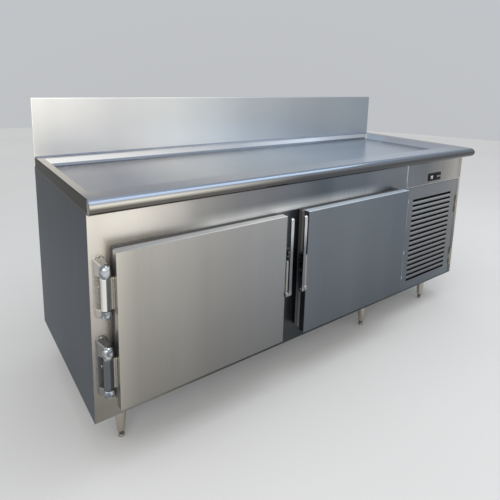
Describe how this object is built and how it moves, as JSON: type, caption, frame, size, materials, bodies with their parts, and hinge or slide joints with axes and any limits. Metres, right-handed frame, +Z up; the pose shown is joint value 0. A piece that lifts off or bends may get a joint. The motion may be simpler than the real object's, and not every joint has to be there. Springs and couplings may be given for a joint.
{
  "type": "undercounter refrigerator",
  "caption": "Stainless undercounter refrigerator with hinged doors, lever latches, a louvred machine bay, a sunk worktop with rolled edge and a backsplash, on levelling legs.",
  "frame": {"origin": "middle of the footprint, on the floor under the feet", "axes": "+X along the front from left to right, +Y from the doors to the back, +Z up"},
  "size_m": [2.057, 0.798, 1.117],
  "materials": {
    "abs_liner": "light grey moulded sheet",
    "black_plastic": "moulded black plastic",
    "black_steel": "black enamel",
    "chrome_hardware": "polished plated castings",
    "coated_wire": "light epoxy coat",
    "copper_line": "drawn copper tube",
    "fin_aluminium": "bare fins",
    "foam": "rigid closed-cell foam",
    "galvanised_sheet": "galvanised sheet with a faint spangle",
    "gasket": "soft magnetic gasket",
    "key_plastic": "moulded dark grey plastic",
    "leg_steel": "satin stainless",
    "rubber_mount": "rubber",
    "stainless_cabinet": "vertically brushed stainless sheet",
    "stainless_door": "vertically brushed stainless sheet",
    "stainless_worktop": "brushed stainless sheet with polished roll edge",
    "white_housing": "powder coated"
  },
  "bodies": {
    "cabinet": {"back_panel": "galvanised_sheet", "backsplash": "stainless_worktop", "bay_wall": "galvanised_sheet", "bottom_panel": "galvanised_sheet", "breaker_strips": "abs_liner", "cabinet_foam": "foam", "compressor": "black_steel", "compressor_mounts": "rubber_mount", "condenser_coil": "fin_aluminium", "condenser_motor": "black_steel", "control_fascia": "stainless_cabinet", "controller_case": "black_plastic", "door_hinge_pins": "chrome_hardware", "electrical_box": "galvanised_sheet", "evaporator_coil": "fin_aluminium", "evaporator_housing": "white_housing", "evaporator_motor": "black_plastic", "face_frame": "stainless_cabinet", "fan_shroud": "galvanised_sheet", "frame_hinge_leaves": "chrome_hardware", "grille_frame_hinges": "stainless_cabinet", "hinge_screws": "chrome_hardware", "interior_liner": "stainless_cabinet", "latch_strike": "stainless_cabinet", "legs": "leg_steel", "power_inlet": "black_plastic", "refrigerant_lines": "copper_line", "shelf_supports": "stainless_cabinet", "side_panels": "stainless_cabinet", "wire_shelves": "coated_wire", "worktop_nosing": "stainless_worktop", "worktop_tray": "stainless_worktop", "worktop_underlay": "abs_liner"},
    "left_door": {"left_door_pan": "stainless_door", "left_door_liner": "abs_liner", "left_door_foam": "foam", "left_door_gasket": "gasket", "left_door_hinge_leaves": "chrome_hardware", "left_latch_body": "chrome_hardware"},
    "left_latch": {"left_latch_lever": "chrome_hardware"},
    "right_door": {"right_door_pan": "stainless_door", "right_door_liner": "abs_liner", "right_door_foam": "foam", "right_door_gasket": "gasket", "right_door_hinge_leaves": "chrome_hardware", "right_latch_body": "chrome_hardware"},
    "right_latch": {"right_latch_lever": "chrome_hardware"},
    "service_grille": {"grille_door": "stainless_cabinet", "grille_door_hinges": "stainless_cabinet"},
    "condenser_fan_wheel": {"condenser_fan": "fin_aluminium"},
    "evaporator_fan_wheel": {"evaporator_fan": "black_plastic"},
    "key_down": {"controller_key_down": "key_plastic"},
    "key_up": {"controller_key_up": "key_plastic"},
    "key_set": {"controller_key_set": "key_plastic"},
    "left_back_foot_screw": {"left_back_foot": "leg_steel"},
    "left_front_foot_screw": {"left_front_foot": "leg_steel"},
    "middle_back_foot_screw": {"middle_back_foot": "leg_steel"},
    "middle_front_foot_screw": {"middle_front_foot": "leg_steel"},
    "right_back_foot_screw": {"right_back_foot": "leg_steel"},
    "right_front_foot_screw": {"right_front_foot": "leg_steel"}
  },
  "joints": [
    {"name": "left_door_swing", "type": "hinge", "parent": "cabinet", "child": "left_door", "pos_m": [-0.9885, -0.358, 0.468], "axis": [0, 0, -1], "range_deg": [0, 120]},
    {"name": "right_door_swing", "type": "hinge", "parent": "cabinet", "child": "right_door", "pos_m": [0.4395, -0.358, 0.468], "axis": [0, 0, 1], "range_deg": [0, 120]},
    {"name": "left_latch_pull", "type": "hinge", "parent": "left_door", "child": "left_latch", "pos_m": [-0.308, -0.387, 0.41], "axis": [1, 0, 0], "range_deg": [0, 30], "stiffness_Nm_per_rad": 2, "springref_deg": -11.46},
    {"name": "right_latch_pull", "type": "hinge", "parent": "right_door", "child": "right_latch", "pos_m": [-0.241, -0.387, 0.41], "axis": [1, 0, 0], "range_deg": [0, 30], "stiffness_Nm_per_rad": 2, "springref_deg": -11.46},
    {"name": "service_grille_swing", "type": "hinge", "parent": "cabinet", "child": "service_grille", "pos_m": [0.953, -0.3298, 0.43], "axis": [0, 0, 1], "range_deg": [0, 105]},
    {"name": "condenser_fan_spin", "type": "hinge", "parent": "cabinet", "child": "condenser_fan_wheel", "pos_m": [0.6915, -0.175, 0.3032], "axis": [0, 1, 0], "continuous": true},
    {"name": "evaporator_fan_spin", "type": "hinge", "parent": "cabinet", "child": "evaporator_fan_wheel", "pos_m": [0.0935, 0, 0.7492], "axis": [0, 1, 0], "continuous": true},
    {"name": "key_down_press", "type": "slide", "parent": "cabinet", "child": "key_down", "axis": [0, 1, 0], "range_m": [0, 0.001], "stiffness_N_per_m": 300, "springref_m": -0.0005},
    {"name": "key_up_press", "type": "slide", "parent": "cabinet", "child": "key_up", "axis": [0, 1, 0], "range_m": [0, 0.001], "stiffness_N_per_m": 300, "springref_m": -0.0005},
    {"name": "key_set_press", "type": "slide", "parent": "cabinet", "child": "key_set", "axis": [0, 1, 0], "range_m": [0, 0.001], "stiffness_N_per_m": 300, "springref_m": -0.0005},
    {"name": "left_back_foot_level", "type": "slide", "parent": "cabinet", "child": "left_back_foot_screw", "axis": [0, 0, -1], "range_m": [0, 0.025]},
    {"name": "left_front_foot_level", "type": "slide", "parent": "cabinet", "child": "left_front_foot_screw", "axis": [0, 0, -1], "range_m": [0, 0.025]},
    {"name": "middle_back_foot_level", "type": "slide", "parent": "cabinet", "child": "middle_back_foot_screw", "axis": [0, 0, -1], "range_m": [0, 0.025]},
    {"name": "middle_front_foot_level", "type": "slide", "parent": "cabinet", "child": "middle_front_foot_screw", "axis": [0, 0, -1], "range_m": [0, 0.025]},
    {"name": "right_back_foot_level", "type": "slide", "parent": "cabinet", "child": "right_back_foot_screw", "axis": [0, 0, -1], "range_m": [0, 0.025]},
    {"name": "right_front_foot_level", "type": "slide", "parent": "cabinet", "child": "right_front_foot_screw", "axis": [0, 0, -1], "range_m": [0, 0.025]}
  ]
}
